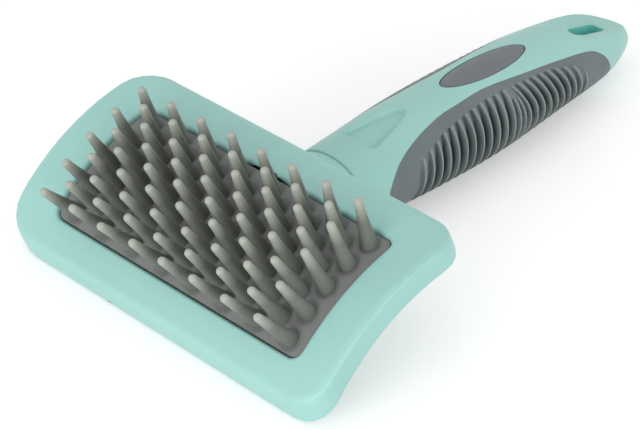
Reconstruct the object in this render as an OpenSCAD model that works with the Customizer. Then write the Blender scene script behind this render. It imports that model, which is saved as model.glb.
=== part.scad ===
// Grooming brush with an arched head of soft rubber pins and a two-shot handle.
// It lies as it would on a table, pins up: on the front rim of its head and on the belly of its handle.

/* [Head] */
// Length of the head, along its straight side
head_l = 108.5; // [95:0.5:125]
// Width of the head, measured round its arch
head_w = 59.3; // [52:0.1:68]
// Depth of the head, from its face to its back
head_t = 9.1; // [8.6:0.1:12]
// Radius of the arch that the pin field follows
arch_r = 55.6; // [48:0.2:80]
// Radius of the head's corners
head_corner_r = 9.1; // [8:0.1:14]
// Rounding between the face of the head and its skirt
edge_r = 1.8; // [0.8:0.1:2.6]
// Height of the face's edge over the widest line of the skirt
skirt_h = 5.8; // [4.4:0.1:6.2]
// How far the skirt spreads from the face's edge to its widest line, at the ends
skirt_end = 0.5; // [0:0.1:2]
// The same along the front side
skirt_front = 4.1; // [1:0.1:4.6]
// The same along the side of the handle
skirt_rear = 2; // [0:0.1:3]
// How far the rim leans in below its widest line
rim_in = 3.3; // [2.6:0.1:4]
// Width of the frame at the ends of the window
bezel_end = 12.05; // [10:0.05:14]
// Width of the frame beside the window, measured round the arch
bezel_side = 11.9; // [10:0.1:14]
// Radius of the window's corners
window_corner_r = 3; // [1.5:0.1:5]
// Height of the frame's face over the pin field, beside the window
face_step = 0.9; // [0.4:0.1:1.6]
// Extra height of the frame's face at its outer edge
face_rise = 1.5; // [0.5:0.1:2]
// Wall of the head frame
frame_wall = 2.4; // [1.6:0.1:2.8]
// Thickness of the back shell under the pins
back_t = 1.7; // [1.4:0.1:2.4]

/* [Pins] */
// Height of a pin over the pin field
pin_h = 12.7; // [8:0.1:18]
// Diameter of a pin at its foot
pin_foot_d = 4.1; // [3.2:0.1:4.4]
// Diameter of a pin halfway up
pin_waist_d = 2.8; // [2.4:0.1:3.2]
// Diameter of a pin at its tip
pin_tip_d = 2.1; // [1.2:0.1:2.4]
// Distance from the outer pins to the ends of the window
pin_margin_end = 5.45; // [4.5:0.05:7]
// Distance from the outer rows to the sides of the window
pin_margin_side = 3.63; // [3:0.01:4.5]
// Number of rows
row_count = 9; // [5:2:9]
// Pins in the longer rows, the rows between them have one less
row_pins = 8; // [4:1:8]
// Thickness of the rubber sheet that carries the pins
pad_sheet_t = 1.5; // [1:0.1:1.8]
// Width of the pin grid's flange under the frame, outside the window
grid_flange_w = 2.6; // [1.5:0.1:3]

/* [Handle] */
// Length of the handle from its mouth to its tail
handle_l = 106; // [92:1:130]
// Greatest width of the handle
handle_w = 28.2; // [25:0.2:33]
// Greatest height of the handle
handle_h = 22; // [20:0.2:26]
// Angle between the handle and the head
head_tilt = 32; // [26:1:36]
// Distance from the middle of the pin field to the mouth of the handle
neck_reach = 36; // [34:0.5:40]
// How far the neck lies under the handle's skin at the mouth
neck_step = 0.3; // [0.2:0.1:0.8]
// Length of the neck, from the mouth of the handle to its nose under the head
neck_l = 42; // [38:0.5:44]
// Length of the tenon that the handle is pushed onto
tenon_l = 12; // [8:0.5:16]
// Width of the tenon
tenon_w = 14; // [10:0.5:16]
// Height of the tenon
tenon_h = 9; // [7:0.5:10]
// Length of the hang slot
slot_l = 10.4; // [8:0.1:12]
// Width of the hang slot
slot_w = 4.8; // [4.4:0.1:6]
// Radius of the dish round the hang slot
dish_r = 7.5; // [6.5:0.5:10]
// Length of the thumb recess
thumb_l = 16; // [12:0.5:20]
// Width of the thumb recess at its front
thumb_w = 11; // [8:0.5:14]
// Depth of the thumb recess
thumb_d = 1.2; // [0.6:0.1:1.6]

/* [Grip and badge] */
// Thickness of the soft grip
grip_t = 2.8; // [2.4:0.1:3.6]
// Depth of the grooves between the fins of the grip
groove_d = 1.8; // [0.8:0.1:2]
// Thickness of a fin at its crest
fin_t = 0.8; // [0.6:0.05:1.2]
// Distance from one front fin to the next
front_pitch = 2.77; // [2.4:0.01:3]
// Distance from one rear fin to the next
rear_pitch = 2.55; // [2.2:0.01:2.7]
// Radius of the bow of the rear fins
bow_r = 13.6; // [12:0.1:20]
// Length of the badge
badge_l = 29; // [20:0.5:32]
// Width of the badge
badge_w = 9.4; // [7:0.1:12]
// Thickness of the badge
badge_t = 1.2; // [0.8:0.1:2]

/* [Screw] */
// Diameter of the neck screw
screw_d = 3.6; // [3:0.1:4]
// Length of the neck screw under its head
screw_l = 40; // [34:1:44]
// Diameter of the screw's head
screw_head_d = 7; // [5.5:0.1:7.4]
// Height of the screw's head
screw_head_h = 2.4; // [1.6:0.1:3]

/* [Hidden] */
mint = [0.59, 0.80, 0.765];
pad_grey = [0.46, 0.46, 0.455];
pin_grey = [0.50, 0.52, 0.50];
grip_grey = [0.40, 0.43, 0.44];
badge_grey = [0.38, 0.38, 0.42];
steel = [0.7, 0.7, 0.72];
$fn = 48;
fit = 0.15; // gap between pieces that are pushed together
seam = 0.1; // gap between pieces moulded or set flush
far = 80; // longer than anything a cutter has to pass

// ---- Curves ----
// A table has rows of [place, value, value, ...] and is read as one smooth curve.
function slope(rows, i, c) =
    let (a = max(i - 1, 0), b = min(i + 1, len(rows) - 1))
    (rows[b][c] - rows[a][c]) / (rows[b][0] - rows[a][0]);
function along(rows, p, c = 1, i = 0) =
    i < len(rows) - 2 && p > rows[i + 1][0] ? along(rows, p, c, i + 1) :
    let (w = rows[i + 1][0] - rows[i][0], t = (p - rows[i][0]) / w,
         a = rows[i][c], b = rows[i + 1][c],
         da = slope(rows, i, c) * w, db = slope(rows, i + 1, c) * w)
    a + t * (da + t * (3 * (b - a) - 2 * da - db + t * (2 * (a - b) + da + db)));
function clamp(v, low, high) = max(low, min(high, v));
function power(v, e) = sign(v) * pow(abs(v), e);
function turn(p, a) = [p.x, p.y * cos(a) - p.z * sin(a), p.y * sin(a) + p.z * cos(a)];

// ---- Head: everything lies on an arch, x along it and s round it, h over the pin field ----
window_l = head_l - 2 * bezel_end;
window_w = head_w - 2 * bezel_side;
pin_pitch = (window_l - 2 * pin_margin_end) / (row_pins - 1);
row_pitch = (window_w - 2 * pin_margin_side) / (row_count - 1);
pin_gap = 0.45; // clear ring between the foot of a pin and its hole
pin_hole_d = pin_foot_d + 2 * pin_gap;
rim_top = face_step + face_rise;
rim_low = rim_top - head_t;
back_r = arch_r + rim_low;
floor_r = back_r + back_t;
sheet_r = floor_r + fit;
grid_r = sheet_r + pad_sheet_t + seam;
frame_under = face_step - frame_wall; // height of the frame's underside at the window
flange_r = arch_r + frame_under - fit;
tray_in = rim_in + frame_wall + fit;
tray_wall = 2;
corner_steps = 5;
side_steps = 10;
function on_arch(x, s, h) =
    let (a = s / arch_r * 180 / PI, r = arch_r + h)
    [x, r * sin(a), r * cos(a) - arch_r];
// Outlines of the frame as [number, half length, half width in front, half width behind, corner radius]:
// its low edge, its widest line, the edge of its face, and its window
outlines = [
    [0, head_l / 2 - rim_in, head_w / 2 - rim_in, head_w / 2 - rim_in, head_corner_r - rim_in],
    [1, head_l / 2, head_w / 2, head_w / 2, head_corner_r],
    [2, head_l / 2 - skirt_end, head_w / 2 - skirt_front, head_w / 2 - skirt_rear, head_corner_r - skirt_end],
    [3, window_l / 2, window_w / 2, window_w / 2, window_corner_r]];
function outline(way, c) = lookup(way, [for (o = outlines) [o[0], o[c]]]);
// One ring of points between two outlines, shrunk and raised
function head_ring(way, h, shrink) =
    let (hx = outline(way, 1) - shrink, front = outline(way, 2) - shrink, rear = outline(way, 3) - shrink,
         c = max(outline(way, 4) - shrink, 1),
         turns = [for (i = [0:corner_steps]) 90 * i / corner_steps],
         right = concat(
             [for (a = turns) [hx - c + c * sin(a), c - front - c * cos(a)]],
             [for (i = [1:side_steps - 1]) [hx, c - front + (rear + front - 2 * c) * i / side_steps]],
             [for (a = turns) [hx - c + c * cos(a), rear - c + c * sin(a)]]),
         left = [for (i = [len(right) - 1:-1:0]) [-right[i].x, right[i].y]])
    [for (p = concat(right, left)) on_arch(p.x, p.y, h)];
// Rounded corner at b of the line a, b, c, which starts and ends at shares of its two stretches
function bend(a, b, c, from, to, steps = 3) =
    [for (i = [0:steps]) let (t = i / steps)
        b + pow(1 - t, 2) * from * (a - b) + pow(t, 2) * to * (c - b)];
lip_r = 0.7; // roundings of the window's lip, of the rim's low edge and of its widest line
rim_r = 0.8;
hip_r = 1.2;
// Corners of the frame's cross-section as [outline, height, shrink]
low_edge = [0, rim_low, 0];
widest = [1, rim_top - skirt_h, 0];
face_edge = [2, rim_top, 0];
lip = [3, face_step, 0];
lip_foot = [3, frame_under, 0];
low_inner = [0, rim_low, frame_wall];
face_w = head_l / 2 - skirt_end - window_l / 2;
// The frame's cross-section from its widest line over the face, into the window and back
frame_section = concat(
    bend(low_edge, widest, face_edge, hip_r / norm([rim_in, head_t - skirt_h]), hip_r / skirt_h),
    bend(widest, face_edge, lip, edge_r / skirt_h, edge_r / face_w, 5),
    [face_edge + 0.6 * (lip - face_edge)],
    bend(face_edge, lip, lip_foot, lip_r / face_w, lip_r / frame_wall),
    [lip_foot, face_edge + [0, -frame_wall, frame_wall], widest + [0, 0, frame_wall], low_inner],
    bend(low_inner, low_edge, widest, rim_r / frame_wall, rim_r / rim_in, 2));

// Closed loop of rings, such as a frame round its window
module ring_loop(rings) {
    n = len(rings[0]);
    m = len(rings);
    polyhedron(
        points = [for (r = rings) each r],
        faces = [for (i = [0:m - 1]) for (j = [0:n - 1]) let (a = i * n, b = (i + 1) % m * n, k = (j + 1) % n)
            each [[a + j, b + k, a + k], [a + j, b + j, b + k]]]);
}
// Row of rings closed at both ends, such as a handle
module ring_row(rings) {
    n = len(rings[0]);
    m = len(rings);
    polyhedron(
        points = [for (r = rings) each r],
        faces = concat([[for (j = [n - 1:-1:0]) j]],
            [for (i = [0:m - 2]) for (j = [0:n - 1]) let (a = i * n, b = a + n, k = (j + 1) % n)
                each [[a + j, b + k, b + j], [a + j, a + k, b + k]]],
            [[for (j = [0:n - 1]) (m - 1) * n + j]]));
}
// Chain of convex slices, each between two neighbouring rings
module ring_chain(rings) {
    n = len(rings[0]);
    for (i = [0:len(rings) - 2])
        hull() polyhedron(points = concat(rings[i], rings[i + 1]),
            faces = [[for (j = [0:n - 1]) j], [for (j = [2 * n - 1:-1:n]) j]]);
}
// Curved plate between two radii of the arch, l long and w round the arch, in flat strips a row wide
module arch_plate(r_in, r_out, l, w) {
    half = w / 2 / arch_r * 180 / PI;
    strips = 2 * ceil(w / row_pitch / 2) + 1;
    function arc(r) = [for (k = [0:strips]) let (a = 90 - half + k * 2 * half / strips) r * [cos(a), sin(a)]];
    function back_arc(r) = [for (k = [strips:-1:0]) arc(r)[k]];
    rotate([90, 0, 90]) linear_extrude(l, center = true)
        translate([0, -arch_r]) polygon(concat(arc(r_out), back_arc(r_in)));
}
// Puts what stands on the origin at x along and s round the arch
module at_arch(x, s) {
    translate([x, 0, -arch_r]) rotate([-s / arch_r * 180 / PI, 0, 0]) translate([0, 0, arch_r]) children();
}
module rounded_plate(r_in, r_out, l, w, c) {
    arch_plate(r_in, r_out, l, w - 2 * c);
    intersection() {
        arch_plate(r_in, r_out, l, w);
        union() {
            arch_plate(r_in - 1, r_out + 1, l - 2 * c, w + 2);
            for (x = [-1, 1], s = [-1, 1])
                at_arch(x * (l / 2 - c), s * (w / 2 - c)) translate([0, 0, r_in - arch_r - 1])
                    cylinder(r = c, h = r_out - r_in + 2);
        }
    }
}
module each_pin() {
    for (row = [1:row_count]) {
        n = row % 2 == 1 ? row_pins : row_pins - 1;
        for (i = [1:n])
            at_arch((i - (n + 1) / 2) * pin_pitch, ((row_count + 1) / 2 - row) * row_pitch) children();
    }
}
// The space inside the head that the pin pad fills
module head_inside() {
    inset = tray_in + tray_wall;
    arch_plate(floor_r, arch_r + head_t, head_l - 2 * inset, head_w - 2 * inset);
}

// ---- Handle: u runs from the head to the tail, w up ----
steps_round = 36;
squareness = 2.15;
// Sections as [share of the length, share of the half width, top and bottom as shares of the height]
stations = [
    [0.000, 0.860, 0.205, -0.665],
    [0.096, 0.905, 0.275, -0.640],
    [0.255, 0.970, 0.400, -0.605],
    [0.453, 1.000, 0.490, -0.505],
    [0.651, 0.955, 0.535, -0.310],
    [0.829, 0.720, 0.555, -0.250],
    [0.930, 0.530, 0.500, -0.160],
    [1.000, 0.360, 0.260, -0.100]];
round_from = 0.86; // the tail closes from this share of the length
function tail_close(p) =
    let (t = clamp((p - round_from) / (1 - round_from), 0, 1))
    pow(1 - pow(t, 2.5), 0.5);
function half_w(p) = along(stations, p, 1) * handle_w / 2 * tail_close(p);
function mid_w(p) = (along(stations, p, 2) + along(stations, p, 3)) / 2 * handle_h;
function half_h(p) = (along(stations, p, 2) - along(stations, p, 3)) / 2 * handle_h * tail_close(p);
// Point of the handle's skin at a share of its length and an angle round it.
// It is sunk by a depth at the sides and below, and by another at the crown.
function skin(p, a, depth = 0, crown = 0) =
    let (hw = max(half_w(p) - depth, 0.2), hh = max(half_h(p) - (depth + crown) / 2, 0.2))
    [hw * power(cos(a), 2 / squareness), neck_reach + p * handle_l,
     mid_w(p) + (depth - crown) / 2 + hh * power(sin(a), 2 / squareness)];
function skin_ring(p, depth = 0, crown = 0) =
    [for (j = [0:steps_round - 1]) skin(p, 360 * j / steps_round, depth, crown)];
body_places = concat([for (k = [0:17]) k / 17 * round_from],
    [for (t = [0.35, 0.55, 0.72, 0.85, 0.94, 0.985]) round_from + t * (1 - round_from)]);
core_end = 0.90;
core_places = concat([-0.05], [for (k = [0:16]) k / 16 * core_end]);
module handle_outer() ring_chain([for (p = body_places) skin_ring(p)]);
module handle_core(depth, crown) ring_chain([for (p = core_places) skin_ring(p, depth, crown)]);
grip_crown = 0.2; // how deep the grip's bed lies under the spine of the handle

// Upper edge of the grip and of its ribbed field, as [share of the length, share of the height]
grip_line = [[0.075, -0.15], [0.088, -0.04], [0.12, 0.098], [0.185, 0.235], [0.265, 0.335],
    [0.345, 0.388], [0.425, 0.427], [0.53, 0.440], [0.665, 0.436], [0.77, 0.385], [0.812, 0.275],
    [0.838, 0.135], [0.854, 0.0]];
field_line = [[0.17, 0.05], [0.255, 0.222], [0.338, 0.318], [0.44, 0.382], [0.60, 0.412],
    [0.655, 0.390], [0.715, 0.320], [0.735, 0.20]];
module grip_region() {
    last = len(grip_line) - 1;
    numbered = [for (i = [0:last]) [i, grip_line[i][0], grip_line[i][1]]];
    side = [for (k = [0:30]) let (i = k / 30 * last)
        [neck_reach + along(numbered, i, 1) * handle_l, along(numbered, i, 2) * handle_h]];
    low = side[30];
    difference() {
        rotate([90, 0, 90]) linear_extrude(far, center = true)
            polygon(concat(side, [
                [low.x - 1.2, low.y - 0.12 * handle_h],
                [low.x - 8, low.y - 0.26 * handle_h],
                [low.x - 14, -handle_h],
                [side[0].x, -handle_h]]));
        slot(slot_wall);
    }
}
slot_mid = neck_reach + 0.853 * handle_l;
slot_wall = 1.6; // plastic left between the slot and the grip
module slot(grow = 0) {
    hull() for (y = [-1, 1])
        translate([0, slot_mid + y * (slot_l - slot_w) / 2, -handle_h])
            cylinder(d = slot_w + 2 * grow, h = 2 * handle_h, $fn = 32);
}
// Fins as [place of the crest's front, bow, depth of the groove before it, where its top starts]
front_start = 19; // from the mouth to the first groove
front_count = 12;
rear_count = 10;
rear_start = front_start + (front_count - 1) * front_pitch + 2.4;
fins = concat(
    [for (i = [0:front_count - 1])
        [front_start + i * front_pitch, 0, groove_d * min(1, 0.4 + 0.2 * i), 0]],
    [[rear_start - 1.3, 0.28, groove_d, 0.12], [rear_start - 0.75, 0.66, groove_d * 0.8, 0.12]],
    [for (i = [0:rear_count - 1])
        [rear_start + i * rear_pitch, 1, groove_d * min(1, 0.4 + 0.2 * (rear_count - 1 - i)), 0]]);
function bow(w) = sqrt(max(pow(bow_r, 2) - pow(w, 2), 1)) - sqrt(pow(bow_r, 2) - pow(0.4 * handle_h, 2));
// Point of the ribbed skin: y from the mouth, how much its line bows, and the depth of the groove there
function field_top(p) = along(field_line, clamp(p, field_line[0][0], field_line[len(field_line) - 1][0]));
function rib_point(y, share, depth, drop, a) =
    let (w = skin(y / handle_l, a).z,
         p = (y + share * bow(w)) / handle_l,
         under = (field_top(p) - drop) * handle_h - w)
    let (sunk = depth * clamp(under / 3, 0, 1)) skin(p, a, sunk, sunk);
function rib_ring(y, share, depth, drop) =
    [for (j = [0:steps_round - 1]) rib_point(y, share, depth, drop, 360 * j / steps_round)];
root_w = 0.25;
rib_rings = concat(
    [for (y = [5, 9.5, 14]) rib_ring(y, 0, 0, 0), rib_ring(front_start - front_pitch + fin_t, 0, 0, 0)],
    [for (f = fins) each [rib_ring(f[0] - root_w, f[1], f[2], f[3]), rib_ring(f[0], f[1], 0, 0),
        rib_ring(f[0] + fin_t, f[1], 0, 0)]],
    let (last = fins[len(fins) - 1][0] + fin_t, end = 0.885 * handle_l)
        [for (t = [0.25, 0.5, 0.75, 1]) rib_ring(last + t * (end - last), 1 - t, 0, 0)]);

// ---- Neck: from the mouth of the handle to its nose under the head's back ----
// Sections as [share of the neck's length, and what is added to the half width, the top and the bottom
// at the mouth, as shares of the handle's height]
neck_shape = [
    [0.000, 0.000, 0.000, 0.000],
    [0.167, 0.023, -0.009, -0.009],
    [0.321, 0.036, -0.018, -0.014],
    [0.405, 0.041, 0.172, -0.009],
    [0.619, 0.009, 0.081, 0.000],
    [0.857, -0.118, -0.191, 0.050],
    [1.000, -0.309, -0.464, 0.091]];
neck_end = [half_w(0) - neck_step, mid_w(0) + half_h(0) - neck_step, mid_w(0) - half_h(0) + neck_step];
neck_rows = [for (r = neck_shape)
    [r[0] * neck_l, for (c = [0:2]) neck_end[c] + r[c + 1] * handle_h]];
function neck_ring(i, grow) =
    let (r = neck_rows[i], mid = (r[2] + r[3]) / 2, hh = (r[2] - r[3]) / 2 + grow)
    [for (j = [0:steps_round - 1]) let (a = 360 * j / steps_round)
        [(r[1] + grow) * power(cos(a), 2 / squareness), neck_reach - r[0],
         mid + hh * power(sin(a), 2 / squareness)]];
module neck(grow = 0) ring_chain([for (i = [0:len(neck_rows) - 1]) neck_ring(i, grow)]);
tenon_mid = mid_w(0);
module tenon(grow = 0) {
    c = 3;
    translate([0, neck_reach - 1, tenon_mid]) rotate([-90, 0, 0])
        hull() for (x = [-1, 1], z = [-1, 1])
            translate([x * (tenon_w / 2 - c), z * (tenon_h / 2 - c), 0])
                cylinder(r = c + grow, h = tenon_l + 1 + grow * 2, $fn = 32);
}
screw_seat = neck_reach + tenon_l + 12 - screw_l;
module along_screw(from, to, d) {
    translate([0, from, tenon_mid]) rotate([-90, 0, 0]) cylinder(d = d, h = to - from);
}

// ---- Rest: the brush leans on the front rim of its head and on the belly of its handle ----
function head_point(p) = turn(p, head_tilt);
head_low = [for (q = frame_section) head_point(on_arch(0, q[2] - outline(q[0], 2), q[1]))];
belly_low = [for (p = body_places) skin(p, 270)];
lie = max([for (h = head_low) min([for (b = belly_low) atan2(b.z - h.z, b.y - h.y)])]);
function rested(p) = turn(p, -lie);
lift = -min([for (p = concat(head_low, belly_low)) rested(p).z]);
front_y = min([for (p = head_low) rested(p).y]);
tail_y = max([for (p = body_places) for (q = skin_ring(p)) rested(q).y]);
module at_rest() translate([0, -(front_y + tail_y) / 2, lift]) rotate([-lie, 0, 0]) children();
module in_head() at_rest() rotate([head_tilt, 0, 0]) children();

// ---- Pieces ----
module head_frame() {
    color(mint) difference() {
        in_head() ring_loop([for (q = frame_section) head_ring(q[0], q[1], q[2])]);
        at_rest() neck(fit);
    }
}
module head_back() {
    color(mint) difference() {
        union() {
            in_head() difference() {
                tray_l = head_l - 2 * tray_in;
                tray_w = head_w - 2 * tray_in;
                corner_r = head_corner_r - tray_in;
                rounded_plate(back_r, arch_r + frame_under, tray_l, tray_w, corner_r);
                rounded_plate(floor_r, arch_r + head_t, tray_l - 2 * tray_wall, tray_w - 2 * tray_wall,
                    corner_r);
            }
            at_rest() difference() {
                union() {
                    neck();
                    tenon();
                }
                rotate([head_tilt, 0, 0]) head_inside();
            }
        }
        at_rest() {
            along_screw(screw_seat - far / 2, screw_seat, screw_head_d + 1);
            along_screw(screw_seat - 1, neck_reach + tenon_l + 1, screw_d + 0.6);
        }
    }
}
module pin_grid() {
    color(pad_grey) in_head() difference() {
        union() {
            rounded_plate(grid_r, arch_r, window_l - 2 * fit, window_w - 2 * fit, window_corner_r - fit);
            arch_plate(grid_r, flange_r, window_l + 2 * grid_flange_w, window_w + 2 * grid_flange_w);
        }
        each_pin() translate([0, 0, -head_t]) cylinder(d = pin_hole_d, h = 2 * head_t, $fn = 32);
    }
}
module pin() {
    foot = sheet_r + pad_sheet_t / 2 - arch_r;
    tip_r = pin_tip_d / 2;
    waist = pin_h / 2;
    translate([0, 0, foot]) cylinder(d = pin_foot_d, h = -foot, $fn = 24);
    cylinder(d1 = pin_foot_d, d2 = pin_waist_d, h = waist, $fn = 24);
    translate([0, 0, waist])
        cylinder(d1 = pin_waist_d, d2 = pin_tip_d - 0.01, h = pin_h - tip_r - waist, $fn = 24);
    translate([0, 0, pin_h - tip_r]) sphere(tip_r, $fn = 24);
}
module pin_pad() {
    color(pin_grey) in_head() {
        arch_plate(sheet_r, sheet_r + pad_sheet_t,
            window_l + 2 * grid_flange_w, window_w + 2 * grid_flange_w);
        each_pin() pin();
    }
}
module badge_oval(grow = 0) {
    translate([0, neck_reach + 0.49 * handle_l, 0]) scale([1, (badge_l + 2 * grow) / (badge_w + 2 * grow), 1])
        cylinder(d = badge_w + 2 * grow, h = far, $fn = 56);
}
module thumb_outline() {
    y = neck_reach + 0.08 * handle_l;
    r = 1.6;
    for (x = [-1, 1]) translate([x * (thumb_w / 2 - r), y + r, 0]) circle(r, $fn = 24);
    for (x = [-1, 1]) translate([x * (thumb_w * 0.36 - r), y + thumb_l * 0.55, 0]) circle(r, $fn = 24);
    translate([0, y + thumb_l - thumb_w * 0.2]) circle(thumb_w * 0.2, $fn = 24);
}
slot_floor = 0.38 * handle_h;
dish_fall = 9; // slope of the dish towards the tail, in degrees
module handle_body() {
    color(mint) at_rest() difference() {
        handle_outer();
        difference() {
            grip_region();
            handle_core(grip_t, grip_crown);
        }
        difference() {
            badge_oval(seam);
            handle_core(badge_t + seam, badge_t + seam);
        }
        difference() {
            linear_extrude(far) hull() thumb_outline();
            handle_core(thumb_d, thumb_d);
        }
        tenon(fit);
        along_screw(neck_reach, screw_seat + screw_l + 1, screw_d + 0.1);
        translate([0, slot_mid, slot_floor + dish_r]) rotate([-dish_fall, 0, 0]) hull() {
            translate([0, -0.6 * dish_r, 0]) sphere(dish_r, $fn = 48);
            translate([0, far / 2, 0]) sphere(dish_r, $fn = 48);
        }
        slot();
    }
}
module grip() {
    color(grip_grey) at_rest() difference() {
        intersection() {
            ring_row(rib_rings);
            grip_region();
        }
        handle_core(grip_t - seam, grip_crown - seam);
    }
}
module badge() {
    color(badge_grey) at_rest() difference() {
        intersection() {
            handle_outer();
            badge_oval();
        }
        handle_core(badge_t, badge_t);
    }
}
module neck_screw() {
    color(steel) at_rest() {
        along_screw(screw_seat - screw_head_h, screw_seat, screw_head_d);
        along_screw(screw_seat - 0.5, screw_seat + screw_l, screw_d);
    }
}

head_frame();
head_back();
pin_grid();
pin_pad();
handle_body();
grip();
badge();
neck_screw();
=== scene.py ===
"""Looks of the pet grooming brush: a moulded skin for each CAD piece, materials, a studio and the camera."""

import math
import random

import bmesh
import bpy
import numpy as np
from mathutils import Matrix, Vector
from mathutils.bvhtree import BVHTree
from mathutils.kdtree import KDTree


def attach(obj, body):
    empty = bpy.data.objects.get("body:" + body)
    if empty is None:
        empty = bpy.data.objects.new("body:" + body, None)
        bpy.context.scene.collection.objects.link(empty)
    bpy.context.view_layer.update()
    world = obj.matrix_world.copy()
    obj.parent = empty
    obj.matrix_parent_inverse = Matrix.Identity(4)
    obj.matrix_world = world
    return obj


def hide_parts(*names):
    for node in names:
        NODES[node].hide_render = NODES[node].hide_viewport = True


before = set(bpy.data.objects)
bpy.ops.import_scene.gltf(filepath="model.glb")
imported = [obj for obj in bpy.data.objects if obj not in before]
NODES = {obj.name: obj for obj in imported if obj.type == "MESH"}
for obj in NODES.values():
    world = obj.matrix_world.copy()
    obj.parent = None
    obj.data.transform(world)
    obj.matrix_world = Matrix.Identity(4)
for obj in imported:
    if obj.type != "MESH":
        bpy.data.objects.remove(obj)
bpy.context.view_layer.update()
MM = 0.001

# ---- Image points, in the photograph's 640 x 430 frame ----
W, H = 640, 430
POINTS = {
    "left": 13.4,
    "right": 628.0,
    "top": 12.5,
    "bottom": 421.4,
    "window_left": (60.8, 213.7),
    "window_right": (391.3, 245.0),
    "window_low": (293.0, 358.1),
    "tip_far_left": (142.0, 90.8),
    "tip_far_right": (358.3, 201.3),
    "tip_near_left": (43.9, 192.0),
    "tip_near_right": (257.9, 317.4),
    "badge_head_end": (440.0, 85.0),
    "badge_tail_end": (524.0, 46.8),
    "slot": (585.0, 30.0),
    "dark_mark": (107.0, 304.0),
}

# ---- Sizes that part.scad gives the pieces, in millimetres and degrees ----
PAD_APEX = (0.0, -59.866, 20.888)   # where the arch of the pin field is highest
HEAD_TILT = 32.0                    # between the handle and the head
LIE = 6.66                          # between the handle and the table
ARCH_R = 55.6
WINDOW_L, WINDOW_W, WINDOW_R = 84.4, 35.5, 3.0
FIT = 0.15
PIN_PITCH, ROW_PITCH = 10.5, 3.53
ROWS, ROW_PINS = 9, 8
PIN_H, PIN_FOOT_R, PIN_TIP_R = 12.7, 2.05, 1.05
GRID_LOW = -3.25
SHEET_TOP, SHEET_T = -3.35, 1.5
SHEET_L, SHEET_W = 89.6, 40.7
NECK_REACH, HANDLE_L, HANDLE_W, HANDLE_H = 36.0, 106.0, 28.2, 22.0
SQUARENESS = 2.15
ROUND_FROM = 0.86


def turned_x(points, degrees):
    """Points turned about the X axis."""
    a = math.radians(degrees)
    x, y, z = np.moveaxis(np.asarray(points, float), -1, 0)
    return np.stack([x, y * math.cos(a) - z * math.sin(a), y * math.sin(a) + z * math.cos(a)], -1)


def from_handle(points):
    """Handle coordinates in millimetres to the row frame in metres."""
    return (turned_x(points, -LIE) + PAD_APEX) * MM


def from_head(points):
    """Head coordinates in millimetres to the row frame in metres."""
    return from_handle(turned_x(points, HEAD_TILT))


def on_arch(x, s, h):
    """Head coordinates of a point at x along and s round the arch, h over it."""
    a, r = s / ARCH_R, ARCH_R + h
    return np.stack(np.broadcast_arrays(x, r * np.sin(a), r * np.cos(a) - ARCH_R), -1)


# ---- Camera: settled on the image points by aim, with no shift ----
CAMERA_AT = (0.38289, -0.36125, 0.35828)
CAMERA_AIM = (-0.01385, -0.01602, -0.00644)
CAMERA_ROLL = -4.443
CAMERA_LENS, SENSOR = 145.97, 36.0


def make_camera():
    data = bpy.data.cameras.new("camera")
    data.sensor_fit = "AUTO"
    data.sensor_width = SENSOR
    data.lens = CAMERA_LENS
    data.clip_start = 0.01
    camera = bpy.data.objects.new("camera", data)
    bpy.context.scene.collection.objects.link(camera)
    facing = (Vector(CAMERA_AIM) - Vector(CAMERA_AT)).to_track_quat("-Z", "Y").to_matrix().to_4x4()
    roll = Matrix.Rotation(math.radians(CAMERA_ROLL), 4, "Z")
    camera.matrix_world = Matrix.Translation(CAMERA_AT) @ facing @ roll
    bpy.context.scene.camera = camera
    bpy.context.view_layer.update()
    return camera


camera = make_camera()


def project(points):
    """Image place, in the photograph's frame, of points in the row frame."""
    lens = camera.data
    local = np.asarray(points) @ np.array(camera.matrix_world.inverted().to_3x3()).T
    local = local + np.array(camera.matrix_world.inverted().translation)
    long = max(W, H)
    scale = long * lens.lens / lens.sensor_width / -local[:, 2]
    return np.stack([W / 2 - lens.shift_x * long + local[:, 0] * scale,
                     H / 2 + lens.shift_y * long - local[:, 1] * scale], 1)


def place(point, carrier):
    """Where the ray of an image point meets the carrier's tree, and the way the surface faces there."""
    lens, long = camera.data, max(W, H)
    ray = Vector((point[0] - W / 2 + lens.shift_x * long, H / 2 - point[1] + lens.shift_y * long,
                  -long * lens.lens / lens.sensor_width)).normalized()
    eye, ray = camera.matrix_world.translation, camera.matrix_world.to_3x3() @ ray
    hit, normal, _, _ = carrier.ray_cast(eye, ray)
    if hit is None:
        near = [carrier.find_nearest(eye + ray * d) for d in np.linspace(0.4, 0.9, 251)]
        hit, normal, _, _ = min(near, key=lambda n: n[3])
    return hit, normal


def carrier_of(objects):
    """A tree of the objects' finished faces in the row frame."""
    graph = bpy.context.evaluated_depsgraph_get()
    points, faces = [], []
    for thing in objects:
        shape = thing.evaluated_get(graph).to_mesh()
        first = len(points)
        points += [thing.matrix_world @ v.co for v in shape.vertices]
        faces += [[first + k for k in f.vertices] for f in shape.polygons]
    return BVHTree.FromPolygons(points, faces)


# ---- Meshes ----
def new_piece(name, points, faces, slot, node):
    """A mesh of points in metres that stands for a CAD node."""
    mesh = bpy.data.meshes.new(name)
    mesh.from_pydata([tuple(p) for p in np.asarray(points, float)], [], [tuple(f) for f in faces])
    return add_piece(name, mesh, slot, node)


def add_piece(name, mesh, slot, node):
    mesh.validate()
    mesh.shade_smooth()
    mesh.materials.clear()
    mesh.polygons.foreach_set("material_index", [0] * len(mesh.polygons))
    piece = bpy.data.objects.new(name, mesh)
    bpy.context.scene.collection.objects.link(piece)
    piece.data.materials.append(MATERIALS[slot])
    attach(piece, "root")
    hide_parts(node)
    return piece


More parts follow.
